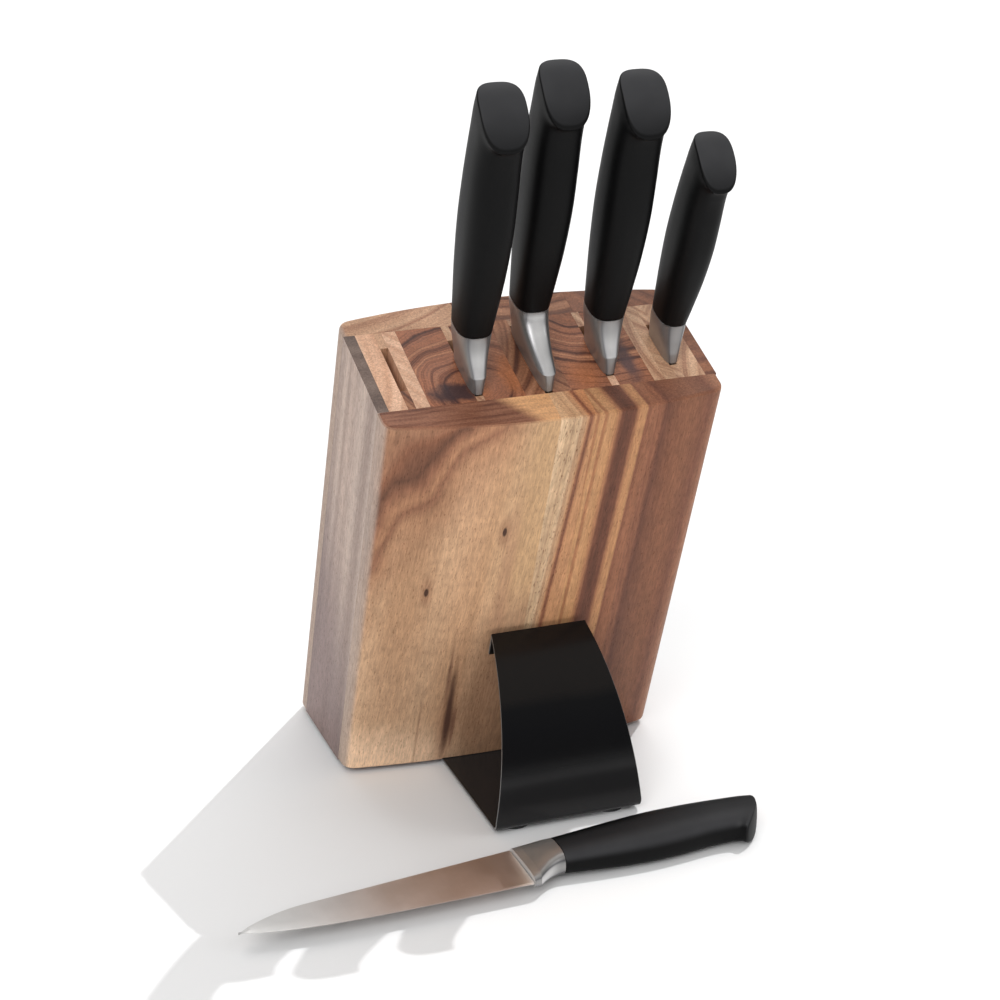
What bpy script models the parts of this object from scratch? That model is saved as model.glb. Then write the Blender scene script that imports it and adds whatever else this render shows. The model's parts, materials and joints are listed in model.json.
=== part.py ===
"""Curved wooden knife block on a folded steel stand, with five kitchen knives.

Metres, +Z up. The set stands on z = 0 and the broad bowed face of the block
looks along -Y. The block leans forward over its stand by LEAN. Four knives
stand in their slots, and the utility knife lies on the table in front.

The block is glued up from boards: a front panel and a back panel, both bowed,
around a core of upright staves. Spacers between the staves leave the slots.
Block parts are modelled upright in the block's own frame (x across, y to the
back, z up the lean) and hang on the empty block_frame. Each knife is modelled
point down in its own frame: origin at the spine end of the heel, +z towards
the butt, -y towards the cutting edge, x across the blade.
"""

import math

import bmesh
import bpy
from mathutils import Matrix, Vector

# ---- driving dimensions -------------------------------------------------
GAP = 0.0003                # clearance between parts that touch or are glued

BLOCK_WIDTH = 0.1574        # across the front, end to end
BLOCK_THICKNESS = 0.0749    # front to back at the ends
BLOCK_LENGTH = 0.2136       # up the lean, along the front
BOW = 0.0071                # how far front and back bulge at mid width
LEAN = math.radians(21.7)   # forward lean of the block
PANEL_EDGE = 0.0108         # panel thickness at the ends of the block
END_BOARD = 0.0052          # thin board that closes each end of the core
SLOT_WIDTH = 0.0036
SLOT_PITCH = 0.0312
SLOT_SHIFT = -0.0008         # middle slot from the middle of the block
CORNER_ROUND = 0.0052       # upright corners of the block
RIM_ROUND = 0.0016          # outer top and bottom edges

BLOCK_X = 0.0403            # centre of the block across the set
BLOCK_Y = 0.0290            # reference line of the block, stand and lying knife
BLOCK_ADVANCE = 0.0017      # front bottom chord of the block, ahead of that line
BASE_HEIGHT = 0.0024        # underside of the block above the table
RECESS_DEPTH = 0.0012       # rebate in the underside for the stand's base plate

STAND_OFFSET = 0.0046       # stand centre from the block centre, across
STAND_HALF_WIDTH = 0.0358   # at the base and the front bend
STAND_TOP_HALF = 0.0233     # at the top fold
STAND_SHEET = 0.0015
STAND_REACH = 0.0850        # front of the stand's base ahead of the line
STAND_TAIL = 0.0500         # end of the base plate under the block
STAND_ARC_RADIUS = 0.0820
STAND_ARC_START = math.radians(-3.0)
STAND_BEND = 0.0030         # inside radius of the front bend
STAND_LIP = 0.0095          # lip folded down against the block

PLATE_BOTTOM = BASE_HEIGHT + RECESS_DEPTH - GAP - STAND_SHEET

SCREW_SHANK = 0.0016        # radius
SCREW_LENGTH = 0.0100
SCREW_HEAD = 0.0034
BLOCK_FOOT_RADIUS = 0.0063
STAND_FOOT_RADIUS = 0.0068

TANG_WIDTH = 0.0110
TANG_THICKNESS = 0.0020
TANG_SHARE = 0.62           # how far the tang reaches into the grip
BLADE_THICKNESS = 0.0020
EDGE_THICKNESS = 0.0004
BELLY_POWER = 5             # how late the cutting edge curves up to the point
HEEL_THICKNESS = 0.0066     # bolster where it sits on the block
NOSE_SLOPE = 0.22           # how far the bolster's flat nose leans back
NOSE_WIDEN = 0.0010         # how much wider the nose is at its crease
SWEEP_POWER = 1.8           # how hollow the sweep above the nose is

KNIFE_REST_X = -0.0354      # heel of the lying knife from the block's middle
KNIFE_REST_Y = -0.1129
KNIFE_REST_HEIGHT = 0.00815  # its blade plane above the table
KNIFE_YAW = math.radians(1.5)

# slot: index from the middle. spine: its distance behind the front chord.
# heel: blade height. grip and bolster: lengths. wide, thick: handle scales.
# cant: how far the grip is tipped towards the spine, per unit of length.
# nose: height of the bolster's flat nose. butt: slant of the butt's face.
LARGE_GRIP = dict(grip=0.1180, bolster=0.0238, wide=1.02, thick=1.21, cant=0.047, butt=0.66)
KNIVES = {
    "bread": dict(LARGE_GRIP, slot=-1, spine=0.0441, heel=0.0295, blade=0.200,
                  drop=(0.04, 0.12), belly=0.06, nose=0.0072),
    "cooks": dict(LARGE_GRIP, slot=0, spine=0.0576, heel=0.0462, blade=0.200,
                  drop=(0.16, 0.20), belly=0.50, nose=0.0074),
    "carving": dict(LARGE_GRIP, slot=1, spine=0.0464, heel=0.0285, blade=0.200,
                    drop=(0.20, 0.30), belly=0.35, nose=0.0078),
    "paring": dict(slot=2, spine=0.0456, heel=0.0250, blade=0.090, grip=0.0995, bolster=0.0183,
                   wide=0.98, thick=0.98, cant=-0.055, drop=(0.30, 0.25), belly=0.30,
                   nose=0.0042, butt=0.57),
    "utility": dict(slot=-2, spine=0.0500, heel=0.0297, blade=0.1297, grip=0.1065,
                    bolster=0.0183, wide=1.02, thick=0.91, cant=0.047, drop=(0.42, 0.29),
                    belly=0.27, nose=0.0035, butt=0.49),
}

# handle outline at size 1: share of length, spine side, edge side, thickness
HANDLE_STATIONS = (
    (0.00, -0.0014, -0.0214, 0.0132),
    (0.12, -0.0011, -0.0230, 0.0148),
    (0.30, -0.0004, -0.0252, 0.0168),
    (0.50, 0.0003, -0.0266, 0.0178),
    (0.68, -0.0002, -0.0262, 0.0176),
    (0.80, -0.0012, -0.0256, 0.0172),
    (0.88, -0.0022, -0.0262, 0.0170),
    (0.95, -0.0034, -0.0280, 0.0172),
    (1.00, -0.0044, -0.0296, 0.0170),
)
BUTT_REACH = 0.0141         # length that the slanted butt adds at its spine side
BUTT_DOME = 0.0040          # how far the butt's face bulges between spine and edge
RING = 20                   # points round a handle or a bolster

# ---- materials ----------------------------------------------------------
COLOURS = {
    "acacia_light": ((0.50, 0.31, 0.16), 0.45, 0.0),
    "acacia_brown": ((0.24, 0.11, 0.055), 0.45, 0.0),
    "acacia_pale": ((0.66, 0.42, 0.26), 0.50, 0.0),
    "acacia_end_grain": ((0.27, 0.12, 0.06), 0.50, 0.0),
    "handle_plastic": ((0.018, 0.018, 0.019), 0.50, 0.0),
    "brushed_steel": ((0.62, 0.61, 0.60), 0.30, 1.0),
    "black_steel": ((0.012, 0.012, 0.013), 0.15, 0.0),
    "rubber": ((0.02, 0.02, 0.02), 0.80, 0.0),
    "screw_steel": ((0.45, 0.45, 0.46), 0.35, 1.0),
}


def make_material(name):
    """A Principled material with the part's colour, roughness and metal."""
    colour, roughness, metallic = COLOURS[name]
    material = bpy.data.materials.new(name)
    material.use_nodes = True
    shader = material.node_tree.nodes["Principled BSDF"]
    shader.inputs["Base Color"].default_value = (*colour, 1.0)
    shader.inputs["Roughness"].default_value = roughness
    shader.inputs["Metallic"].default_value = metallic
    return material


# ---- helpers ------------------------------------------------------------
def add_object(name, mesh, material, parent=None, smooth_angle=None):
    """Link a mesh to the part's collection and give it its material."""
    obj = bpy.data.objects.new(name, mesh)
    parts.objects.link(obj)
    mesh.materials.append(materials[material])
    obj.parent = parent
    if smooth_angle:
        mesh.shade_smooth()
        mesh.set_sharp_from_angle(angle=math.radians(smooth_angle))
    return obj


def mesh_from(bm, name):
    """Turn a bmesh into a mesh whose faces all point out."""
    bmesh.ops.recalc_face_normals(bm, faces=bm.faces)
    mesh = bpy.data.meshes.new(name)
    bm.to_mesh(mesh)
    bm.free()
    return mesh


def skin(name, rings, closed=False):
    """Loft a mesh through rings of points, capped at both ends unless closed."""
    bm = bmesh.new()
    loops = [[bm.verts.new(point) for point in ring] for ring in rings]
    pairs = list(zip(loops, loops[1:]))
    if closed:
        pairs.append((loops[-1], loops[0]))
    else:
        bm.faces.new(loops[0])
        bm.faces.new(loops[-1])
    for lower, upper in pairs:
        count = len(lower)
        for i in range(count):
            j = (i + 1) % count
            bm.faces.new((lower[i], lower[j], upper[j], upper[i]))
    return mesh_from(bm, name)


def smooth_value(stations, share, column):
    """Catmull-Rom value of one column of a station table."""
    last = len(stations) - 1
    index = max(i for i in range(last) if stations[i][0] <= share)
    before = stations[max(index - 1, 0)]
    start = stations[index]
    end = stations[index + 1]
    after = stations[min(index + 2, last)]
    t = (share - start[0]) / (end[0] - start[0])
    span = end[0] - start[0]
    slope_in = (end[column] - before[column]) / (end[0] - before[0]) * span
    slope_out = (after[column] - start[column]) / (after[0] - start[0]) * span
    return ((2 * t**3 - 3 * t**2 + 1) * start[column] + (t**3 - 2 * t**2 + t) * slope_in
            + (3 * t**2 - 2 * t**3) * end[column] + (t**3 - t**2) * slope_out)


def oval(spine, edge, thickness, height, power, slant=0.0, dome=0.0):
    """A superellipse ring across a knife, from its spine side to its edge side."""
    middle = (spine + edge) / 2
    half = (spine - edge) / 2
    points = []
    for i in range(RING):
        angle = 2 * math.pi * i / RING
        across = math.copysign(abs(math.cos(angle)) ** (2 / power), math.cos(angle))
        along = math.copysign(abs(math.sin(angle)) ** (2 / power), math.sin(angle))
        y = half * along
        z = height + slant * y + dome * (1 - along * along)
        points.append((thickness / 2 * across, middle + y, z))
    return points


# ---- the wooden block ---------------------------------------------------
def bow_depth(x):
    """Bulge of the front or back face at a distance x from mid width."""
    half = BLOCK_WIDTH / 2
    radius = (half**2 + BOW**2) / (2 * BOW)
    return math.sqrt(radius**2 - x**2) - (radius - BOW)


def prism(name, outline):
    """Upright prism in the block's frame, trimmed level with the table."""
    bm = bmesh.new()
    low = -BLOCK_THICKNESS
    base = bm.faces.new([bm.verts.new((x, y, low)) for x, y in outline])
    grown = bmesh.ops.extrude_face_region(bm, geom=[base])["geom"]
    top = [item for item in grown if isinstance(item, bmesh.types.BMVert)]
    bmesh.ops.translate(bm, verts=top, vec=(0, 0, BLOCK_LENGTH - low))
    level = Vector((0, math.sin(LEAN), math.cos(LEAN)))
    geometry = bm.verts[:] + bm.edges[:] + bm.faces[:]
    cut = bmesh.ops.bisect_plane(bm, geom=geometry, plane_co=(0, 0, 0), plane_no=level,
                                 clear_inner=True)["geom_cut"]
    rim = [item for item in cut if isinstance(item, bmesh.types.BMEdge)]
    bmesh.ops.contextual_create(bm, geom=rim)
    bmesh.ops.recalc_face_normals(bm, faces=bm.faces)
    return bm


def faces_outward(face, side):
    """True for a face of the block's outside, on the front (-1) or back (1)."""
    centre = face.calc_center_median()
    at_end = abs(abs(centre.x) - BLOCK_WIDTH / 2) < CORNER_ROUND and abs(face.normal.x) > 0.3
    return abs(face.normal.z) < 0.1 and (face.normal.y * side > 0.1 or at_end)


def round_edges(bm, side, ends):
    """Round the upright corners at the block's ends, then its outer rims."""
    half = BLOCK_WIDTH / 2
    if ends:
        corners = [edge for edge in bm.edges
                   if all(abs(abs(v.co.x) - half) < 1e-6 for v in edge.verts)
                   and all(v.co.y * side > BLOCK_THICKNESS / 2 * (side + 1) - 1e-6
                           for v in edge.verts)
                   and abs(edge.verts[0].co.z - edge.verts[1].co.z) > BLOCK_LENGTH / 2]
        bmesh.ops.bevel(bm, geom=corners, offset=CORNER_ROUND, segments=5, profile=0.5,
                        affect='EDGES')
    rims = [edge for edge in bm.edges
            if len(edge.link_faces) == 2
            and sum(faces_outward(face, side) for face in edge.link_faces) == 1
            and any(abs(face.normal.z) > 0.5 for face in edge.link_faces)]
    bmesh.ops.bevel(bm, geom=rims, offset=RIM_ROUND, segments=3, profile=0.5, affect='EDGES')


def panel_board(name, x0, x1, side, material):
    """One board of the bowed front (side -1) or back (side 1) panel."""
    joint = PANEL_EDGE - GAP / 2
    left = x0 + (GAP / 2 if x0 > -BLOCK_WIDTH / 2 else 0)
    right = x1 - (GAP / 2 if x1 < BLOCK_WIDTH / 2 else 0)
    steps = max(2, round((x1 - x0) / 0.010))
    curve = [left + (right - left) * i / steps for i in range(steps + 1)]
    outline = [(x, -bow_depth(x)) for x in curve] + [(right, joint), (left, joint)]
    if side > 0:
        outline = [(x, BLOCK_THICKNESS - y) for x, y in outline]
    bm = prism(name, outline)
    ends = x0 <= -BLOCK_WIDTH / 2 or x1 >= BLOCK_WIDTH / 2
    round_edges(bm, side, ends)
    return add_object(name, mesh_from(bm, name), material, block_frame)


def core_piece(name, x0, x1, y0, y1, material):
    """A stave, spacer or end board of the core: a straight upright prism."""
    x0 += GAP / 2
    x1 -= GAP / 2
    y0 += GAP / 2
    y1 -= GAP / 2
    bm = prism(name, [(x0, y0), (x1, y0), (x1, y1), (x0, y1)])
    return add_object(name, mesh_from(bm, name), material, block_frame)


def slot_centre(index):
    return index * SLOT_PITCH + SLOT_SHIFT


def build_panels():
    """Front panel of four boards and back panel of three."""
    half = BLOCK_WIDTH / 2
    seams = (-half, -0.0015, 0.0150, 0.0430, half)
    woods = ("acacia_light", "acacia_pale", "acacia_light", "acacia_brown")
    for i, wood in enumerate(woods):
        panel_board(f"front_board_{i + 1}", seams[i], seams[i + 1], -1, wood)
    seams = (-half, -0.0240, 0.0300, half)
    woods = ("acacia_light", "acacia_brown", "acacia_light")
    for i, wood in enumerate(woods):
        panel_board(f"back_board_{i + 1}", seams[i], seams[i + 1], 1, wood)


def build_core():
    """End boards, staves and the spacers that leave five slots between them."""
    front = PANEL_EDGE
    back = BLOCK_THICKNESS - PANEL_EDGE
    half = BLOCK_WIDTH / 2
    core_piece("end_board_left", -half - GAP / 2, -half + END_BOARD, front, back, "acacia_brown")
    core_piece("end_board_right", half - END_BOARD, half + GAP / 2, front, back, "acacia_brown")

    # extra joints between slots; the slots themselves part the other staves
    joints = (-0.0550, -0.0115, 0.0097, 0.0489, 0.0543)
    walls = [-half + END_BOARD, half - END_BOARD, *joints]
    for index in range(-2, 3):
        walls += [slot_centre(index) - SLOT_WIDTH / 2, slot_centre(index) + SLOT_WIDTH / 2]
    walls.sort()
    openings = [slot_centre(index) for index in range(-2, 3)]
    spans = [(a, b) for a, b in zip(walls, walls[1:])
             if not any(a < centre < b for centre in openings)]
    woods = ("acacia_pale", "acacia_pale", "acacia_end_grain", "acacia_end_grain", "acacia_brown",
             "acacia_brown", "acacia_end_grain", "acacia_end_grain", "acacia_pale",
             "acacia_pale", "acacia_pale")
    for i, ((x0, x1), wood) in enumerate(zip(spans, woods)):
        core_piece(f"core_stave_{i + 1}", x0, x1, front, back, wood)

    # each slot is open between its front and back spacer
    slots = {-2: (0.0232, 0.0531), -1: (0.0142, 0.0536), 0: (None, 0.0592),
             1: (0.0175, 0.0536), 2: (0.0200, 0.0498)}
    for number, (index, (start, end)) in enumerate(slots.items(), start=1):
        x0 = slot_centre(index) - SLOT_WIDTH / 2
        x1 = slot_centre(index) + SLOT_WIDTH / 2
        if start:
            core_piece(f"slot_{number}_front_spacer", x0, x1, front, start, "acacia_pale")
        core_piece(f"slot_{number}_back_spacer", x0, x1, end, back, "acacia_pale")


# ---- the stand ----------------------------------------------------------
def stand_path():
    """Middle line of the folded sheet in y and z, with its half width there."""
    sheet_z = PLATE_BOTTOM + STAND_SHEET / 2
    front = -STAND_REACH + STAND_SHEET / 2
    bend = STAND_BEND + STAND_SHEET / 2
    path = [(STAND_TAIL, sheet_z, STAND_HALF_WIDTH)]
    # front bend, from flat to the start of the arc
    for i in range(5):
        turn = (math.pi / 2 - STAND_ARC_START) * i / 4
        path.append((front + bend - bend * math.sin(turn),
                     sheet_z + bend - bend * math.cos(turn), STAND_HALF_WIDTH))
    foot_y, foot_z, _ = path[-1]
    centre_y = foot_y + STAND_ARC_RADIUS * math.cos(STAND_ARC_START)
    centre_z = foot_z - STAND_ARC_RADIUS * math.sin(STAND_ARC_START)
    steps = 12
    sweep = arc_sweep(centre_y, centre_z)
    for i in range(1, steps + 1):
        angle = STAND_ARC_START + sweep * i / steps
        width = STAND_HALF_WIDTH + (STAND_TOP_HALF - STAND_HALF_WIDTH) * i / steps
        path.append((centre_y - STAND_ARC_RADIUS * math.cos(angle),
                     centre_z + STAND_ARC_RADIUS * math.sin(angle), width))
    # fold over and down the face of the block
    lip = Vector((math.sin(LEAN), -math.cos(LEAN)))
    end = Vector(path[-1][:2]) + Vector((math.sin(LEAN), 1 - math.cos(LEAN))) * STAND_SHEET
    corner = end - Vector((0, STAND_SHEET))
    path.append((*(corner + lip * 0.0006), STAND_TOP_HALF))
    path.append((*(corner + lip * STAND_LIP), STAND_TOP_HALF))
    return path


def block_front(z):
    """y of the bowed front face at mid width, at a height above the table."""
    return (-(z - BASE_HEIGHT) * math.sin(LEAN) - BOW) / math.cos(LEAN) - BLOCK_ADVANCE


def arc_sweep(centre_y, centre_z):
    """Angle at which the stand's arc meets the face of the block."""
    sweep = 0.0
    step = math.radians(0.05)
    clearance = GAP + 2.2 * STAND_SHEET
    while True:
        angle = STAND_ARC_START + sweep
        y = centre_y - STAND_ARC_RADIUS * math.cos(angle)
        z = centre_z + STAND_ARC_RADIUS * math.sin(angle)
        if y > block_front(z) - clearance / math.cos(LEAN):
            return sweep
        sweep += step


def sheet_rings(path):
    """Rectangular rings of a sheet folded along a path in y and z."""
    points = [Vector((y, z)) for y, z, _ in path]
    rings = []
    for i, (_, _, half) in enumerate(path):
        ahead = points[min(i + 1, len(points) - 1)] - points[i]
        behind = points[i] - points[max(i - 1, 0)]
        ahead = ahead.normalized() if ahead.length else behind.normalized()
        behind = behind.normalized() if behind.length else ahead
        across = (ahead + behind).normalized()
        normal = Vector((-across.y, across.x))
        reach = STAND_SHEET / 2 / max(0.45, normal.dot(Vector((-ahead.y, ahead.x))))
        inner = points[i] - normal * reach
        outer = points[i] + normal * reach
        rings.append([(-half, *inner), (half, *inner), (half, *outer), (-half, *outer)])
    return rings


def turned(name, profile, segments, material, location, parent=None):
    """A solid turned about z from a profile of radius and height, top to bottom."""
    bm = bmesh.new()
    verts = [bm.verts.new((radius, 0, z)) for radius, z in profile]
    for a, b in zip(verts, verts[1:]):
        bm.edges.new((a, b))
    mesh = bpy.data.meshes.new(name)
    bm.to_mesh(mesh)
    bm.free()
    obj = add_object(name, mesh, material, parent)
    obj.location = location
    screw = obj.modifiers.new("turn", 'SCREW')
    screw.steps = segments
    screw.render_steps = segments
    screw.use_merge_vertices = True
    screw.merge_threshold = 0.00001
    return obj


def foot(name, radius, height, x, y, parent):
    """A stick-on rubber foot with a rounded lower rim."""
    rim = 0.0006
    profile = ((0, height), (radius, height), (radius, rim), (radius - rim, 0), (0, 0))
    return turned(name, profile, 24, "rubber", (x, y, 0), parent)


def build_stand():
    """The folded sheet, its two feet, the block's four feet and two screws."""
    sheet = add_object("stand_sheet", skin("stand_sheet", sheet_rings(stand_path())),
                       "black_steel", table_frame, smooth_angle=30)
    sheet.location.x = STAND_OFFSET
    for side, label in ((-1, "left"), (1, "right")):
        foot(f"stand_foot_{label}", STAND_FOOT_RADIUS, PLATE_BOTTOM - GAP,
             STAND_OFFSET + side * 0.0235, -STAND_REACH + 0.0105, table_frame)
        for y, row in ((0.0075, "front"), (0.0640, "rear")):
            foot(f"block_foot_{row}_{label}", BLOCK_FOOT_RADIUS, BASE_HEIGHT - GAP,
                 side * 0.0635, y, table_frame)
    cut_recess()
    for number, x in ((1, -0.0205), (2, 0.0195)):
        base_screw(number, x, 0.0300, sheet)


def hidden_cutter(name, location):
    """Move the newest primitive to the cutters and place it on the table frame."""
    cutter = bpy.context.object
    cutter.name = name
    cutter.parent = table_frame
    cutter.location = location
    cutter.hide_render = True
    cutter.display_type = 'WIRE'
    for collection in cutter.users_collection:
        collection.objects.unlink(cutter)
    cutters.objects.link(cutter)
    return cutter


def cut_away(obj, cutter):
    """Subtract a cutter from an object."""
    hole = obj.modifiers.new(cutter.name, 'BOOLEAN')
    hole.operation = 'DIFFERENCE'
    hole.solver = 'EXACT'
    hole.object = cutter


def cut_recess():
    """Shallow rebate under the block that takes the stand's base plate."""
    front = -0.030
    back = STAND_TAIL + GAP
    width = 2 * (STAND_HALF_WIDTH + GAP)
    depth = RECESS_DEPTH * 2
    bpy.ops.mesh.primitive_cube_add(size=1)
    bpy.context.object.data.transform(Matrix.Diagonal((width, back - front, depth, 1)))
    cutter = hidden_cutter("base_recess", (STAND_OFFSET, (front + back) / 2, BASE_HEIGHT))
    left = STAND_OFFSET - width / 2
    right = STAND_OFFSET + width / 2
    for obj in parts.objects:
        if obj.parent == block_frame and obj.type == 'MESH' and "back_board" not in obj.name:
            across = [vert.co.x for vert in obj.data.vertices]
            if min(across) < right and max(across) > left and "back_spacer" not in obj.name:
                cut_away(obj, cutter)


def base_screw(number, x, y, sheet):
    """A flat-head screw up through the plate, and the holes that it needs."""
    top = PLATE_BOTTOM + SCREW_LENGTH
    head_top = PLATE_BOTTOM - GAP
    head_low = head_top - 0.0009
    profile = ((0, top), (SCREW_SHANK * 0.5, top - 0.0005), (SCREW_SHANK, top - 0.0020),
               (SCREW_SHANK, head_top), (SCREW_HEAD, head_top), (SCREW_HEAD * 0.85, head_low),
               (0, head_low))
    turned(f"base_screw_{number}", profile, 16, "screw_steel", (x, y, 0), table_frame)
    bpy.ops.mesh.primitive_cylinder_add(vertices=16, radius=SCREW_SHANK + GAP,
                                        depth=SCREW_LENGTH + 0.002)
    cutter = hidden_cutter(f"screw_hole_{number}", (x, y, (top + PLATE_BOTTOM) / 2))
    stave = "core_stave_4" if x < 0 else "core_stave_7"
    cut_away(sheet, cutter)
    cut_away(bpy.data.objects[stave], cutter)


# ---- the knives ---------------------------------------------------------
def blade_rings(knife):
    """Rings from the tip to the heel, then the tang up into the handle."""
    length = knife["blade"]
    heel = knife["heel"]
    rings = []
    steps = 14
    for i in range(steps + 1):
        share = i / steps                       # 0 at the tip, 1 at the heel
        z = -length * (1 - share) ** 1.35
        away = -z / length                      # 0 at the heel, 1 at the tip
        straight, swept = knife["drop"]
        spine = -heel * (straight * away + swept * (max(0, away - 0.75) / 0.25) ** 2)
        edge = -heel * (1 - knife["belly"] * away ** BELLY_POWER)
        if i == 0:
            middle = (spine + edge) / 2
            spine = middle + 0.0004
            edge = middle - 0.0004
        thick = BLADE_THICKNESS * (1 - 0.45 * away)
        shoulder = edge + (spine - edge) * 0.30
        rings.append([(-thick / 2, spine, z), (thick / 2, spine, z),
                      (thick / 2 * 0.8, shoulder, z), (EDGE_THICKNESS / 2, edge, z),
                      (-EDGE_THICKNESS / 2, edge, z), (-thick / 2 * 0.8, shoulder, z)])
    tang_end = knife["bolster"] + TANG_SHARE * knife["grip"]
    for z in (0.0, tang_end):
        top, bottom = tang_span(knife, z)
        half = TANG_THICKNESS / 2
        high = top
        low = bottom
        middle = (high + low) / 2
        rings.append([(-half, high, z), (half, high, z), (half, middle, z), (half, low, z),
                      (-half, low, z), (-half, middle, z)])
    return rings


def canted(knife, height):
    """Sideways step of the grip's middle line at a height above the heel."""
    return knife["cant"] * height


def tang_span(knife, height):
    """Upper and lower side of the tang at a height, along the canted grip."""
    _, spine, edge, _ = HANDLE_STATIONS[0]
    middle = (spine + edge) / 2 * knife["wide"] + canted(knife, height)
    return middle + TANG_WIDTH / 2, middle - TANG_WIDTH / 2


def bore_ring(knife, height):
    """Ring of the clearance hole round the tang."""
    top, bottom = tang_span(knife, height)
    clear = 0.0010
    return oval(top + clear, bottom - clear, TANG_THICKNESS + 1.4 * clear, height, 6)


def bolster_edge(knife, height, top_edge):
    """Edge side of a bolster: a flat nose, a crease, then a hollow sweep to the grip."""
    crease = -knife["heel"] + NOSE_SLOPE * knife["nose"]
    if height <= knife["nose"]:
        return -knife["heel"] + NOSE_SLOPE * height
    share = (height - knife["nose"]) / (knife["bolster"] - knife["nose"])
    return crease + (top_edge - crease) * (1 - (1 - share) ** SWEEP_POWER)


def bolster_rings(knife):
    """Outside from the block up to the handle, then the tang's bore back down."""
    _, spine, edge, thickness = HANDLE_STATIONS[0]
    top_spine = spine * knife["wide"] + canted(knife, knife["bolster"])
    top_edge = edge * knife["wide"] + canted(knife, knife["bolster"])
    top_wide = thickness * knife["thick"]
    height = knife["bolster"]
    rings = []
    crease = knife["nose"] / height
    rises = [0, crease] + [crease + (1 - crease) * i / 7 for i in range(1, 8)]
    for rise in rises:
        blend = rise * rise * (3 - 2 * rise)
        wide = HEEL_THICKNESS + (top_wide - HEEL_THICKNESS) * (0.35 * rise + 0.65 * blend)
        wide += NOSE_WIDEN * min(rise / crease, 1) * (1 - rise)
        z = GAP + (height - GAP) * rise
        rings.append(oval(top_spine * rise, bolster_edge(knife, height * rise, top_edge),
                          wide, z, 7 - 4.2 * rise))
    rings.append(bore_ring(knife, height))
    rings.append(bore_ring(knife, GAP))
    return rings


def handle_rings(knife):
    """Blind bore from its end out to the mouth, then the outside to the butt."""
    start = knife["bolster"] + GAP
    bore_end = knife["bolster"] + TANG_SHARE * knife["grip"] + 0.001
    rings = [bore_ring(knife, bore_end), bore_ring(knife, start)]
    shares = (0, 0.05, 0.12, 0.22, 0.34, 0.46, 0.58, 0.68, 0.77, 0.84, 0.89, 0.93, 0.97, 1)
    body = knife["grip"] - BUTT_REACH * knife["wide"]
    for share in shares:
        rings.append(handle_ring(knife, share, start + body * share))
    for scale, lift in ((0.965, 0.0011), (0.88, 0.0017), (0.60, 0.0020), (0.25, 0.0021)):
        rings.append(handle_ring(knife, 1, start + body, scale, lift * knife["wide"]))
    return rings


def handle_ring(knife, share, height, scale=1.0, lift=0.0):
    """Cross-section of the handle at a share of its length; shrunk and lifted on the butt."""
    if share >= 1:
        spine, edge, thickness = HANDLE_STATIONS[-1][1:]
    else:
        spine, edge, thickness = (smooth_value(HANDLE_STATIONS, share, i) for i in (1, 2, 3))
    step = canted(knife, height)
    lean = max(0, (share - 0.55) / 0.45) ** 1.6
    middle = (spine + edge) / 2 * knife["wide"] + step
    half = (spine - edge) / 2 * knife["wide"] * scale
    dome = BUTT_DOME * knife["wide"] * lean
    return oval(middle + half, middle - half, thickness * knife["thick"] * scale,
                height + dome * (1 - scale * scale) + lift, 2.8, knife["butt"] * lean,
                dome * scale * scale)


def build_knife(name, knife):
    """Blade with tang, bolster and handle on one empty."""
    frame = bpy.data.objects.new(f"{name}_knife_frame", None)
    parts.objects.link(frame)
    if name == "utility":
        frame.parent = table_frame
        frame.location = (KNIFE_REST_X, KNIFE_REST_Y, KNIFE_REST_HEIGHT)
        # butt towards +X, cutting edge towards the viewer
        lay = Matrix(((0, 0, 1), (0, 1, 0), (-1, 0, 0)))
        frame.rotation_euler = (Matrix.Rotation(KNIFE_YAW, 3, 'Z') @ lay).to_euler()
    else:
        frame.parent = block_frame
        frame.location = (slot_centre(knife["slot"]), knife["spine"], BLOCK_LENGTH)
    add_object(f"{name}_blade", skin(f"{name}_blade", blade_rings(knife)), "brushed_steel",
               frame, smooth_angle=25)
    add_object(f"{name}_bolster", skin(f"{name}_bolster", bolster_rings(knife), closed=True),
               "brushed_steel", frame, smooth_angle=40)
    add_object(f"{name}_handle", skin(f"{name}_handle", handle_rings(knife)), "handle_plastic",
               frame, smooth_angle=40)


# ---- assembly -----------------------------------------------------------
for old in list(bpy.data.objects):
    bpy.data.objects.remove(old)

parts = bpy.data.collections.new("knife_block_set")
cutters = bpy.data.collections.new("cutters")
bpy.context.scene.collection.children.link(parts)
bpy.context.scene.collection.children.link(cutters)
materials = {name: make_material(name) for name in COLOURS}

table_frame = bpy.data.objects.new("table_frame", None)
parts.objects.link(table_frame)
table_frame.location = (BLOCK_X, BLOCK_Y, 0)

block_frame = bpy.data.objects.new("block_frame", None)
parts.objects.link(block_frame)
block_frame.parent = table_frame
block_frame.location = (0, -BLOCK_ADVANCE, BASE_HEIGHT)
block_frame.rotation_euler = (LEAN, 0, 0)

build_panels()
build_core()
build_stand()
for knife_name, knife_sizes in KNIVES.items():
    build_knife(knife_name, knife_sizes)
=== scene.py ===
"""Looks of the curved knife block set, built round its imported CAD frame.

Metres, +Z up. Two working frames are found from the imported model:
- block frame: x across, y to the back, z up the lean. Its origin is the middle
  of the block's top face, so the boards lie below z = 0.
- knife frame: origin at the spine end of the heel, +z to the butt, -y to the
  cutting edge, x across the blade.
Wood pieces are the CAD boards with their glue gaps closed. Each has growth
rings about a pith, or ruled stripes, with pores, fibres and figure. The staves
on either side of slots 2 and 4 are cut from one piece.
"""

import math

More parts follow.
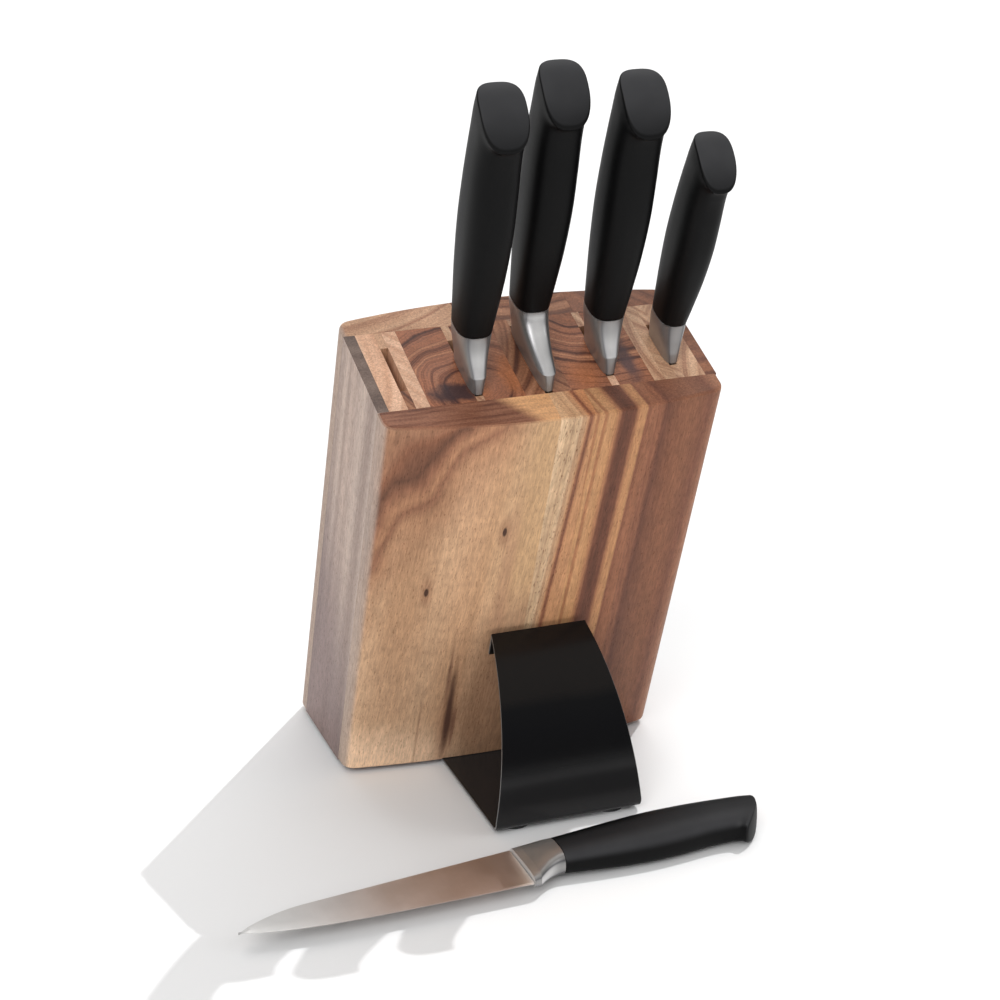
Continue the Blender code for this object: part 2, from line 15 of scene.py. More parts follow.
import bmesh
import bpy
from mathutils import Matrix, Vector
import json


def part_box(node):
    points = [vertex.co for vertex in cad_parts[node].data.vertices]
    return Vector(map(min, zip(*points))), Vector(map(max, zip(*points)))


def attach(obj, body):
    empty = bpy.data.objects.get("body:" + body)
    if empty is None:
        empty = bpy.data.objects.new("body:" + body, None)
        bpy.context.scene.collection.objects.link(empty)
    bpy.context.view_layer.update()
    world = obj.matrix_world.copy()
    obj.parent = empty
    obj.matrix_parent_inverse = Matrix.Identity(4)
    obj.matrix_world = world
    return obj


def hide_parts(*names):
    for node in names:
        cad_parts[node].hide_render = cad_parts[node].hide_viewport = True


# ---- driving dimensions, as in the CAD ----
BLOCK_WIDTH = 0.1574
BLOCK_THICKNESS = 0.0749
BLOCK_LENGTH = 0.2136
PANEL_EDGE = 0.0108
BASE_HEIGHT = 0.0024        # underside of the block above the table
GAP = 0.0003                # glue gap of the CAD boards
SEAM = 0.00005              # what is left of it here
HALF = BLOCK_WIDTH / 2
JOINT = BLOCK_THICKNESS / 2 - PANEL_EDGE    # panel joints from mid thickness

BLOCK_BULGE = 0.0071        # how far front and back bow out at mid width
BLOCK_ADVANCE = 0.0017      # block's front bottom edge ahead of the reference line

STAND_OFFSET = 0.0046
STAND_HALF_WIDTH = 0.0358
STAND_TOP_HALF = 0.0233
STAND_SHEET = 0.0015
STAND_REACH = 0.0850
STAND_TAIL = 0.0500
STAND_ARC_RADIUS = 0.0820
STAND_ARC_START = math.radians(-3.0)
STAND_HEIGHT = 0.0750       # where the sheet meets the block
STAND_BEND = 0.0030
STAND_LIP = 0.0095

BLADE_THICKNESS = 0.0020
HEEL_THICKNESS = 0.0066
BELLY_POWER = 5
POINT = 0.05                # share of a blade that closes to its point
KNIFE_REST = (-0.0354, -0.1129, 0.00815)    # heel of the lying knife from the block
KNIFE_YAW = math.radians(1.5)
NOSE_SLOPE = 0.22           # how far a bolster's flat nose leans back
NOSE_WIDEN = 0.0010         # how much wider the nose is at its crease
SWEEP_POWER = 1.8           # how hollow the sweep above the nose is
BUTT_REACH = 0.0141
BUTT_DOME = 0.0040          # how far the butt's face bulges between spine and edge
RIM_INSET = 0.075           # share of the butt's outline that its round rim takes
RIM_RISE = 0.0011
RING = 72                   # points round a handle or a bolster
SWEPT_SHARE = 0.25          # share of a blade whose spine sweeps down to the point
TIP_THINNING = 0.45         # how much thinner a blade is at its point
SERRATION_PITCH = 0.0052
SERRATION_DEPTH = 0.0011
SERRATED_BEVEL = 0.0040
BEVEL = 0.0011
SPINE_ROUND = 0.00025

# heel: blade height. grip and bolster: lengths. wide, thick: handle scales.
# cant: how far the grip is tipped towards the spine. butt: slant of its face.
LARGE_GRIP = dict(grip=0.1180, bolster=0.0238, wide=1.02, thick=1.21, cant=0.047, butt=0.66)
KNIVES = {
    "bread": dict(LARGE_GRIP, heel=0.0295, blade=0.200, drop=(0.04, 0.12), belly=0.06,
                  nose=0.0072),
    "cooks": dict(LARGE_GRIP, heel=0.0462, blade=0.200, drop=(0.16, 0.20), belly=0.50,
                  nose=0.0074),
    "carving": dict(LARGE_GRIP, heel=0.0285, blade=0.200, drop=(0.20, 0.30), belly=0.35,
                    nose=0.0078),
    "paring": dict(heel=0.0250, blade=0.090, grip=0.0995, bolster=0.0183, wide=0.98,
                   thick=0.98, cant=-0.055, drop=(0.30, 0.25), belly=0.30, nose=0.0042,
                   butt=0.57),
    "utility": dict(heel=0.0297, blade=0.1297, grip=0.1065, bolster=0.0183, wide=1.02,
                    thick=0.91, cant=0.047, drop=(0.42, 0.29), belly=0.27, nose=0.0035,
                    butt=0.49),
}

# handle outline at size 1: share of length, spine side, edge side, thickness
HANDLE_STATIONS = (
    (0.00, -0.0014, -0.0214, 0.0132),
    (0.12, -0.0011, -0.0230, 0.0148),
    (0.30, -0.0004, -0.0252, 0.0168),
    (0.50, 0.0003, -0.0266, 0.0178),
    (0.68, -0.0002, -0.0262, 0.0176),
    (0.80, -0.0012, -0.0256, 0.0172),
    (0.88, -0.0022, -0.0257, 0.0170),
    (0.96, -0.0036, -0.0266, 0.0172),
    (1.00, -0.0044, -0.0296, 0.0170),
)

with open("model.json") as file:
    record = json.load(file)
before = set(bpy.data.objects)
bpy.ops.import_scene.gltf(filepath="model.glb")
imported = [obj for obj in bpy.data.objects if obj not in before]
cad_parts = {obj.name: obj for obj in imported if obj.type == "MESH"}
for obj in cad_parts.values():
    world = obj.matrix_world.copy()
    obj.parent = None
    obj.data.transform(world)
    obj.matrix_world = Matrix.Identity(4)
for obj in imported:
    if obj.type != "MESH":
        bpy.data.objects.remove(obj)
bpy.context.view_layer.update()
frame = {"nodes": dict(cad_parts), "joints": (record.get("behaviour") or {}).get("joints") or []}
nodes = frame["nodes"]


# ---- working frames ----
def corners(names, matrix):
    """Lowest and highest corner of CAD nodes, measured along a frame's axes."""
    back = matrix.inverted()
    points = [back @ vertex.co for name in names for vertex in nodes[name].data.vertices]
    low = Vector(min(point[i] for point in points) for i in range(3))
    high = Vector(max(point[i] for point in points) for i in range(3))
    return low, high


def find_block_frame():
    """The leaning frame at the middle of the block's top face."""
    draw = next(joint for joint in frame["joints"] if joint["name"] == "bread_draw")
    lean = math.atan2(-draw["axis"][1], draw["axis"][2])
    tilt = Matrix.Rotation(lean, 4, 'X')
    boards = [name for name in nodes if "board" in name]
    low, high = corners(boards, tilt)
    return tilt @ Matrix.Translation(((low.x + high.x) / 2, (low.y + high.y) / 2, high.z)), lean


block_frame, LEAN = find_block_frame()
foot_of_block = block_frame @ Vector((0, -BLOCK_THICKNESS / 2, -BLOCK_LENGTH))
table_frame = Matrix.Translation((foot_of_block.x, foot_of_block.y + BLOCK_ADVANCE, 0))


# ---- helpers ----
def add_object(name, data):
    """A named object in the scene."""
    obj = bpy.data.objects.new(name, data)
    bpy.context.scene.collection.objects.link(obj)
    return obj


def add_piece(name, mesh, matrix, material, body, replaced, smooth_angle):
    """Put a finished mesh in the scene, on its body, in place of CAD nodes.

    smooth_angle: edges sharper than this many degrees stay sharp.
    """
    mesh.transform(matrix)
    obj = add_object(name, mesh)
    mesh.materials.clear()
    mesh.materials.append(material)
    mesh.shade_smooth()
    mesh.set_sharp_from_angle(angle=math.radians(smooth_angle))
    bpy.context.view_layer.update()
    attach(obj, body)
    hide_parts(*replaced)


def loft(rings):
    """Mesh through rings of points, capped at both ends."""
    bm = bmesh.new()
    loops = [[bm.verts.new(point) for point in ring] for ring in rings]
    bm.faces.new(loops[0])
    bm.faces.new(loops[-1])
    for lower, upper in zip(loops, loops[1:]):
        count = len(lower)
        for i in range(count):
            j = (i + 1) % count
            bm.faces.new((lower[i], lower[j], upper[j], upper[i]))
    bmesh.ops.recalc_face_normals(bm, faces=bm.faces)
    mesh = bpy.data.meshes.new("loft")
    bm.to_mesh(mesh)
    bm.free()
    return mesh


def smooth_value(stations, share, column):
    """Catmull-Rom value of one column of a station table."""
    last = len(stations) - 1
    index = max(i for i in range(last) if stations[i][0] <= share)
    before = stations[max(index - 1, 0)]
    start = stations[index]
    end = stations[index + 1]
    after = stations[min(index + 2, last)]
    t = (share - start[0]) / (end[0] - start[0])
    span = end[0] - start[0]
    slope_in = (end[column] - before[column]) / (end[0] - before[0]) * span
    slope_out = (after[column] - start[column]) / (after[0] - start[0]) * span
    return ((2 * t**3 - 3 * t**2 + 1) * start[column] + (t**3 - 2 * t**2 + t) * slope_in
            + (3 * t**2 - 2 * t**3) * end[column] + (t**3 - t**2) * slope_out)


def oval(spine, edge, thickness, height, power, slant=0.0, dome=0.0):
    """A superellipse ring across a knife, from its spine side to its edge side."""
    middle = (spine + edge) / 2
    half = (spine - edge) / 2
    points = []
    for i in range(RING):
        angle = 2 * math.pi * i / RING
        across = math.copysign(abs(math.cos(angle)) ** (2 / power), math.cos(angle))
        along = math.copysign(abs(math.sin(angle)) ** (2 / power), math.sin(angle))
        y = half * along
        z = height + slant * y + dome * (1 - along * along)
        points.append((thickness / 2 * across, middle + y, z))
    return points


# ---- node materials ----
NOISE_LOW, NOISE_HIGH = 0.30, 0.70      # range that most of a noise keeps to


class Paint:
    """Builds one procedural material, measured in a working frame of its own."""

    def __init__(self, name, place=None):
        self.material = bpy.data.materials.new(name)
        self.material.use_nodes = True
        self.tree = self.material.node_tree
        self.shader = self.tree.nodes["Principled BSDF"]
        self.coordinates = self.tree.nodes.new("ShaderNodeTexCoord")
        self.point = self.coordinates.outputs["Object"]
        self.normal = self.coordinates.outputs["Normal"]
        self.up = (0, 0, 1)
        if place is not None:
            mapping = self.node("Mapping")
            mapping.vector_type = 'TEXTURE'
            mapping.inputs["Location"].default_value = place.translation
            mapping.inputs["Rotation"].default_value = place.to_euler()
            self.put(mapping.inputs["Vector"], self.point)
            self.point = mapping.outputs[0]
            self.up = tuple(place.to_3x3().col[2])
        self.x, self.y, self.z = self.split(self.point)

    def facing_up(self):
        """Cosine between the surface and the frame's z axis, without its sign."""
        return self.math('ABSOLUTE', self.vector('DOT_PRODUCT', self.normal, self.up))

    def put(self, socket, value):
        """Link a socket, or set a plain value on it."""
        if isinstance(value, bpy.types.NodeSocket):
            self.tree.links.new(value, socket)
        elif socket.type == 'RGBA' and len(value) == 3:
            socket.default_value = (*value, 1.0)
        else:
            socket.default_value = value

    def node(self, kind, *values):
        """A new shader node with its first inputs linked or set, in order."""
        node = self.tree.nodes.new(f"ShaderNode{kind}")
        for socket, value in zip(node.inputs, values):
            self.put(socket, value)
        return node

    def math(self, operation, a, b=0.0):
        node = self.node("Math", a, b)
        node.operation = operation
        return node.outputs[0]

    def plus(self, a, b):
        return self.math('ADD', a, b)

    def minus(self, a, b):
        return self.math('SUBTRACT', a, b)

    def times(self, a, b):
        return self.math('MULTIPLY', a, b)

    def share(self, part, whole):
        return self.math('DIVIDE', part, whole)

    def stretch(self, vector, factors):
        return self.vector('MULTIPLY', vector, factors)

    def vector(self, operation, a, b):
        node = self.node("VectorMath", a, b)
        node.operation = operation
        number = operation in ('LENGTH', 'DOT_PRODUCT')
        return node.outputs["Value" if number else "Vector"]

    def split(self, vector):
        return self.node("SeparateXYZ", vector).outputs

    def join(self, x, y, z):
        return self.node("CombineXYZ", x, y, z).outputs[0]

    def noise(self, vector, scale, detail, roughness=0.5, colour=False):
        node = self.node("TexNoise", vector)
        node.inputs["Scale"].default_value = scale
        node.inputs["Detail"].default_value = detail
        node.inputs["Roughness"].default_value = roughness
        return node.outputs["Color" if colour else "Fac"]

    def bands(self, position, detail):
        """Uneven bands along one number."""
        node = self.node("TexNoise")
        node.noise_dimensions = '1D'
        self.put(node.inputs["W"], position)
        node.inputs["Scale"].default_value = 1.0
        node.inputs["Detail"].default_value = detail
        node.inputs["Roughness"].default_value = 0.55
        return node.outputs["Fac"]

    def fade(self, value, low, high, start=0.0, end=1.0):
        """Smooth step of a value from start at low to end at high."""
        node = self.node("MapRange", value, low, high, start, end)
        node.interpolation_type = 'SMOOTHSTEP'
        return node.outputs[0]

    def vary(self, noise, start, end):
        """A noise spread from start to end over its usual range."""
        return self.fade(noise, NOISE_LOW, NOISE_HIGH, start, end)

    def ramp(self, value, stops):
        """Colour ramp through stops of (position, colour)."""
        node = self.node("ValToRGB", value)
        elements = node.color_ramp.elements
        while len(elements) < len(stops):
            elements.new(1.0)
        for element, (position, colour) in zip(elements, stops):
            element.position = position
            element.color = (*colour, 1.0)
        return node.outputs[0]

    def mix(self, factor, a, b, blend='MIX'):
        node = self.node("Mix", factor)
        node.data_type = 'RGBA'
        node.blend_type = blend
        self.put(node.inputs[6], a)
        self.put(node.inputs[7], b)
        return node.outputs[2]

    def tint(self, colour, by):
        """Colour times another, channel by channel."""
        return self.mix(1.0, colour, by, 'MULTIPLY')

    def scale_colour(self, colour, amount):
        """Colour times a brightness that varies over the surface."""
        return self.tint(colour, self.join(amount, amount, amount))

    def bump(self, height, distance):
        node = self.node("Bump")
        node.inputs["Distance"].default_value = distance
        self.put(node.inputs["Height"], height)
        self.put(self.shader.inputs["Normal"], node.outputs[0])

    def finish(self, colour, roughness, metallic=0.0):
        self.put(self.shader.inputs["Base Color"], colour)
        self.put(self.shader.inputs["Roughness"], roughness)
        self.shader.inputs["Metallic"].default_value = metallic
        return self.material


def stops_of(*colours):
    """Evenly spaced ramp stops over the range of a noise."""
    step = (NOISE_HIGH - NOISE_LOW) / (len(colours) - 1)
    return [(NOISE_LOW + step * i, colour) for i, colour in enumerate(colours)]


def tinted(stops, tint):
    """Ramp stops with red, green and blue each brightened by a share of its own."""
    return [(position, tuple(value * share for value, share in zip(colour, tint)))
            for position, colour in stops]


OIL = (1.0, 0.92, 0.82)     # the oil finish warms every board
BARE = (1, 1, 1)            # end grain as bright as the faces


def wood(name, seed, palette, pith=(0.2, 0.1), spacing=0.004, warp=0.004, stripes=None,
         slant=0.0, end_tint=(0.94, 0.92, 0.92), figure=None, top=None, pores=0.6, detail=2.0):
    """Acacia. Growth rings about a pith, or ruled stripes (x0, x1), with fibres and pores.

    slant: how far the grain runs to the left per metre down. top: colour of the end grain.
    """
    paint = Paint(name, block_frame)
    lean_x = paint.minus(paint.x, paint.times(paint.z, slant))
    grain = paint.join(lean_x, paint.y, paint.z)
    stretched = paint.stretch(grain, (1, 1, 0.14))
    own = paint.vector('ADD', stretched, (seed * 0.37, seed * 0.21, seed * 0.13))
    sway = paint.vector('SUBTRACT', paint.noise(own, 26, 3, colour=True), (0.5, 0.5, 0.5))
    swayed = paint.vector('ADD', grain, paint.stretch(sway, (warp, warp, 0)))
    x, y, _ = paint.split(swayed)
    if stripes:
        left, right = stripes
        depth = paint.minus(y, -BLOCK_THICKNESS / 2 - BLOCK_BULGE)
        across = paint.plus(x, paint.times(depth, 0.22))
        share = paint.share(paint.minus(across, left), right - left)
        colour = paint.ramp(share, palette)
    else:
        from_pith = paint.join(paint.minus(x, pith[0]), paint.minus(y, pith[1]), 0.0)
        radius = paint.share(paint.vector('LENGTH', from_pith, (0, 0, 0)), spacing)
        rings = paint.bands(paint.plus(radius, seed * 3.7), detail)
        colour = paint.ramp(rings, palette)

    # broad patches, fine fibres, and a faint shimmer across the grain
    patch = paint.vary(paint.noise(own, 30, 3), 0.92, 1.07)
    fibre = paint.noise(paint.stretch(grain, (1, 1, 0.12)), 1500, 3, 0.7)
    threads = paint.noise(paint.stretch(own, (1, 1, 0.9)), 700, 3, 0.6)
    tone = paint.times(patch, paint.fade(fibre, 0.25, 0.75, 0.80, 1.17))
    tone = paint.times(tone, paint.vary(threads, 0.90, 1.09))
    shimmer = paint.noise(paint.stretch(grain, (1, 1, 2.2)), 110, 3)
    tone = paint.times(tone, paint.vary(shimmer, 0.955, 1.04))
    colour = paint.tint(paint.scale_colour(colour, tone), OIL)
    if figure:
        colour = figure(paint, colour, tone)

    # end grain drinks more oil and shows its speckled vessels
    end = paint.fade(paint.facing_up(), 0.55, 0.9)
    speckle = paint.vary(paint.noise(paint.point, 900, 2, 0.7), 0.84, 1.12)
    if top:
        cut = top(paint)
    else:
        cut = paint.tint(colour, end_tint)
    colour = paint.mix(end, colour, paint.scale_colour(cut, speckle))

    # open pores: short dark dashes along the grain, dots on the end grain
    dash = paint.noise(paint.stretch(own, (1, 1, 1.5)), 2100, 1)
    pore = paint.fade(dash, 0.62, 0.72, 0.0, pores)
    colour = paint.mix(pore, colour, paint.tint(colour, (0.50, 0.42, 0.38)))
    height = paint.minus(paint.times(fibre, 0.35), pore)
    paint.bump(height, 0.00008)
    rough = paint.vary(paint.noise(own, 40, 3), 0.48, 0.58)
    paint.shader.inputs["Specular IOR Level"].default_value = 0.25
    return paint.finish(colour, paint.plus(rough, paint.times(pore, 0.2)))


def wavy_distance(paint, parts, squeeze, scale, waver):
    """Distance from a place in units of an ellipse, with a soft waver.

    parts: coordinate, centre and half size along two axes.
    """
    steps = [paint.share(paint.minus(coordinate, centre), half)
             for coordinate, centre, half in parts]
    distance = paint.vector('LENGTH', paint.join(*steps, 0.0), (0, 0, 0))
    wobble = paint.noise(paint.stretch(paint.point, (1, 1, squeeze)), scale, 3)
    shift = paint.times(paint.minus(wobble, 0.5), waver)
    return paint.plus(distance, shift)


def spot(paint, x, z, wide, tall, waver):
    """Wavy distance from a place on the front."""
    return wavy_distance(paint, ((paint.x, x, wide), (paint.z, z, tall)), 0.3, 60, waver)


def blot(paint, x, y, wide, deep, waver):
    """Wavy distance from a place on the top face."""
    return wavy_distance(paint, ((paint.x, x, wide), (paint.y, y, deep)), 0.1, 130, waver)


def stain_and_light(paint, colour, distance, inner, outer, strength, tint):
    """Mix a tint in, full inside the inner distance and gone at the outer one."""
    return paint.mix(paint.fade(distance, inner, outer, strength, 0.0), colour, tint)


# outwards from the top left corner
FLAME = [(0.00, (0.34, 0.175, 0.100)), (0.30, (0.32, 0.150, 0.085)), (0.42, (0.23, 0.090, 0.048)),
         (0.52, (0.115, 0.044, 0.026)), (0.58, (0.24, 0.100, 0.056)), (0.66, (0.40, 0.195, 0.104)),
         (0.71, (0.25, 0.110, 0.062)), (0.78, (0.41, 0.212, 0.115)), (0.85, (0.39, 0.200, 0.110)),
         (1.00, (0.42, 0.235, 0.130))]


def corner_arcs(paint):
    """Distance from the top left corner, measured on arcs that hug both edges."""
    wave = paint.noise(paint.stretch(paint.point, (1, 1, 0.5)), 32, 3, colour=True)
    sway = paint.stretch(paint.vector('SUBTRACT', wave, (0.5, 0.5, 0.5)), (0.030, 0.0, 0.040))
    across, _, down = paint.split(sway)
    across = paint.plus(paint.plus(paint.x, HALF), across)
    down = paint.minus(down, paint.z)
    parts = []
    for part, reach in ((across, 0.078), (down, 0.105)):
        share = paint.share(paint.math('MAXIMUM', part, 0.0), reach)
        parts.append(paint.math('POWER', share, 0.6))
    return paint.plus(parts[0], parts[1])


BROWN_MARK = (0.235, 0.100, 0.054)
PURPLE_MARK = (0.140, 0.062, 0.040)
# a mark (most are stains, one is painted light): place, half size and waver of a spot or blot, then
# the distances where its tint is full and where it is gone, its strength and colour, and whether
# grain shows in it
BROAD_MARKS = (
    # paler to the bottom left; painted light lifting the shade along the bottom edge; browner right
    # of the streak
    ((-0.0800, -0.215, 0.0500, 0.110, 0.4), 0.2, 1.10, 0.65, (0.560, 0.365, 0.225), True),
    ((-0.0650, -0.2136, 0.0600, 0.034, 0.4), 0.2, 1.10, 0.95, (0.860, 0.600, 0.400), True),
    ((-0.0050, -0.185, 0.0300, 0.080, 0.4), 0.4, 1.15, 0.80, (0.255, 0.138, 0.080), True),
)
FINE_MARKS = (
    # a pink patch
    ((-0.0150, -0.086, 0.0050, 0.060, 0.8), 0.1, 1.1, 0.35, (0.400, 0.205, 0.130), False),
    # two pin knots, each with a brown halo
    ((-0.0190, -0.0630, 0.0040, 0.0140, 0.5), 0.2, 1.0, 0.50, BROWN_MARK, True),
    ((-0.0190, -0.0630, 0.0013, 0.0034, 0.4), 0.5, 1.0, 0.95, (0.050, 0.022, 0.015), False),
    ((-0.0513, -0.0967, 0.0040, 0.0140, 0.5), 0.2, 1.0, 0.50, BROWN_MARK, True),
    ((-0.0513, -0.0967, 0.0013, 0.0034, 0.4), 0.5, 1.0, 0.95, (0.050, 0.022, 0.015), False),
    # the dark streak low down, its threads, and a faint one to the left
    ((-0.0325, -0.195, 0.0060, 0.075, 0.9), 0.1, 1.1, 0.50, BROWN_MARK, True),
    ((-0.0320, -0.178, 0.0022, 0.038, 1.8), 0.3, 1.3, 0.92, (0.060, 0.026, 0.018), False),
    ((-0.0345, -0.150, 0.0012, 0.026, 1.8), 0.3, 1.3, 0.70, PURPLE_MARK, False),
    ((-0.0290, -0.190, 0.0010, 0.020, 1.8), 0.3, 1.3, 0.70, PURPLE_MARK, False),
    ((-0.0460, -0.195, 0.0008, 0.032, 1.2), 0.2, 1.1, 0.45, BROWN_MARK, True),
)


def add_marks(paint, colour, tone, marks, where):
    """Tint a board with a table of marks, stains and painted light; where is spot or blot."""
    for place, full, gone, strength, tint, grainy in marks:
        distance = where(paint, *place)
        if grainy:
            tint = paint.scale_colour(tint, tone)
        colour = stain_and_light(paint, colour, distance, full, gone, strength, tint)
    return colour


def front_left_figure_and_light(paint, colour, tone):
    """Brown figure in the top left corner, two pin knots, a dark streak low down, and painted light
    along the bottom edge.
    """
    golden = paint.scale_colour((0.560, 0.350, 0.180), tone)
    low = paint.fade(paint.z, -0.085, -0.125)
    gold = paint.times(paint.fade(paint.x, -0.034, 0.000, 0.0, 0.75), paint.minus(1.0, low))
    colour = paint.mix(gold, colour, golden)
    colour = add_marks(paint, colour, tone, BROAD_MARKS, spot)
    # the flame: arcs that hug the left and top edges and thin out to the right
    arcs = corner_arcs(paint)
    flame = paint.scale_colour(paint.ramp(paint.share(arcs, 1.4), FLAME), tone)
    reach = paint.times(paint.fade(arcs, 1.45, 1.00, 0.0, 0.94),
                        paint.fade(paint.x, -0.030, -0.008, 1.0, 0.0))
    colour = paint.mix(reach, colour, flame)
    colour = add_marks(paint, colour, tone, FINE_MARKS, spot)
    return pale_end(paint, colour, tone)


def front_edge(paint):
    """Top edge of the first board: brown streaks that give way to gold on the right."""
    slope = paint.plus(paint.x, paint.times(paint.y, 0.8))
    lines = paint.noise(paint.join(paint.times(paint.x, 0.10), paint.y, 0.0), 420, 3)
    brown = paint.ramp(lines, stops_of((0.110, 0.040, 0.024), (0.190, 0.073, 0.040),
                                       (0.245, 0.102, 0.058), (0.275, 0.118, 0.066)))
    gold = paint.scale_colour((0.660, 0.350, 0.165), paint.vary(lines, 0.88, 1.10))
    return paint.mix(paint.fade(slope, -0.050, -0.040), brown, gold)


def pale_end(paint, colour, tone):
    """The block's left end is sanded paler and greyer than its faces."""
    side = paint.fade(paint.x, -HALF + 0.0024, -HALF + 0.0004)
    sanded = paint.scale_colour((0.400, 0.305, 0.250), tone)
    return paint.mix(paint.times(side, 0.85), colour, sanded)


def left_end_figure(paint, colour, tone):
    """The left end darkens to purple-grey towards the bottom at the back."""
    slope = paint.plus(paint.z, paint.times(paint.y, -1.2))
    low = paint.fade(slope, -0.075, -0.190, 0.0, 0.90)
    return paint.mix(low, colour, paint.scale_colour((0.225, 0.155, 0.145), tone))


RED = (0.440, 0.150, 0.055)
INK = (0.040, 0.020, 0.022)

HEART_ONE_MARKS = (
    ((-0.0410, -0.0195, 0.0150, 0.0080, 1.0), 0.45, 1.05, 0.94, INK, False),
    ((-0.0300, -0.0180, 0.0060, 0.0090, 0.8), 0.2, 1.0, 0.70, RED, True),
    ((-0.0135, -0.0100, 0.0080, 0.0220, 0.8), 0.2, 1.1, 0.70, RED, True),
)
HEART_TWO_MARKS = (
    ((0.0415, -0.0080, 0.0050, 0.0240, 1.0), 0.35, 1.1, 0.90, (0.075, 0.038, 0.038), False),
    ((0.0180, -0.0170, 0.0090, 0.0130, 0.8), 0.2, 1.1, 0.55, RED, True),
)


def heart_one(paint, colour, tone):
    """Purple-black heart at the front left and a red glow at the right."""
    return add_marks(paint, colour, tone, HEART_ONE_MARKS, blot)


def heart_two(paint, colour, tone):
    """Dark purple-brown heart right of the carving knife."""
    return add_marks(paint, colour, tone, HEART_TWO_MARKS, blot)


LIGHT = stops_of((0.500, 0.316, 0.200), (0.535, 0.345, 0.222), (0.565, 0.370, 0.242),
                 (0.585, 0.392, 0.260))
REDDISH = stops_of((0.150, 0.062, 0.040), (0.225, 0.098, 0.058), (0.258, 0.115, 0.068),
                   (0.285, 0.130, 0.076))
BROWN = stops_of((0.105, 0.042, 0.026), (0.230, 0.098, 0.056), (0.330, 0.160, 0.092),
                 (0.400, 0.205, 0.125))
TAN = stops_of((0.330, 0.180, 0.120), (0.450, 0.275, 0.185), (0.510, 0.330, 0.225),
               (0.560, 0.375, 0.265))
PALE = stops_of((0.540, 0.325, 0.225), (0.610, 0.385, 0.275), (0.650, 0.425, 0.310),
                (0.700, 0.465, 0.345))
GREY = tinted(stops_of((0.270, 0.200, 0.172), (0.335, 0.258, 0.222), (0.385, 0.300, 0.258),
                       (0.420, 0.335, 0.288)), (1.20, 1.26, 1.36))
HEART = stops_of((0.075, 0.028, 0.020), (0.190, 0.074, 0.044), (0.330, 0.140, 0.080),
                 (0.230, 0.098, 0.062), (0.430, 0.205, 0.118))
# ruled across board 2: pale with thin brown lines, then tan, then a dark line
STRIP = tinted([
    (0.00, (0.60, 0.44, 0.31)), (0.05, (0.54, 0.39, 0.27)), (0.24, (0.52, 0.37, 0.25)),
    (0.29, (0.44, 0.30, 0.20)), (0.38, (0.47, 0.33, 0.22)), (0.42, (0.37, 0.24, 0.16)),
    (0.47, (0.46, 0.32, 0.21)), (0.61, (0.50, 0.35, 0.24)), (0.66, (0.36, 0.22, 0.14)),
    (0.73, (0.43, 0.27, 0.17)), (0.80, (0.40, 0.21, 0.12)), (0.85, (0.22, 0.092, 0.055)),
    (0.90, (0.17, 0.070, 0.045)), (0.94, (0.33, 0.155, 0.085)), (1.00, (0.42, 0.22, 0.12)),
], (1.22, 1.27, 1.28))
# ruled across board 3: golden with a broad dark band and thin dark lines
STRIPED = [(0.00, (0.42, 0.215, 0.115)), (0.04, (0.34, 0.160, 0.085)), (0.08, (0.49, 0.275, 0.14)),
           (0.13, (0.50, 0.285, 0.15)), (0.16, (0.34, 0.160, 0.085)), (0.19, (0.38, 0.185, 0.095)),
           (0.23, (0.52, 0.295, 0.155)), (0.34, (0.48, 0.265, 0.135)), (0.40, (0.38, 0.185, 0.10)),
           (0.46, (0.16, 0.064, 0.040)), (0.56, (0.115, 0.047, 0.031)), (0.70, (0.16, 0.064, 0.040)),
           (0.74, (0.33, 0.155, 0.085)), (0.79, (0.45, 0.240, 0.125)), (0.89, (0.48, 0.260, 0.135)),
           (0.93, (0.22, 0.092, 0.058)), (1.00, (0.29, 0.130, 0.078))]
# ruled across board 4: reddish lines by the seam, a dark band, then even brown
RUSSET = [(0.00, (0.26, 0.115, 0.070)), (0.06, (0.290, 0.130, 0.078)), (0.09, (0.235, 0.100, 0.062)),
          (0.13, (0.275, 0.120, 0.072)), (0.17, (0.190, 0.080, 0.052)), (0.21, (0.155, 0.066, 0.045)),
          (0.28, (0.190, 0.082, 0.052)), (0.42, (0.230, 0.100, 0.060)), (0.60, (0.255, 0.113, 0.066)),
          (0.75, (0.222, 0.096, 0.058)), (0.85, (0.190, 0.080, 0.052)), (0.93, (0.26, 0.120, 0.075)),
          (1.00, (0.33, 0.165, 0.105))]

HEART_ONE = ("acacia_end_grain", 12.2, HEART,
             dict(pith=(-0.0300, -0.0190), spacing=0.0042, figure=heart_one,
                  end_tint=BARE, warp=0.016, detail=3.0))
HEART_TWO = ("acacia_end_grain", 15.5, HEART,
             dict(pith=(0.0360, 0.0500), spacing=0.0038, figure=heart_two,
                  end_tint=BARE, warp=0.015, detail=3.0))
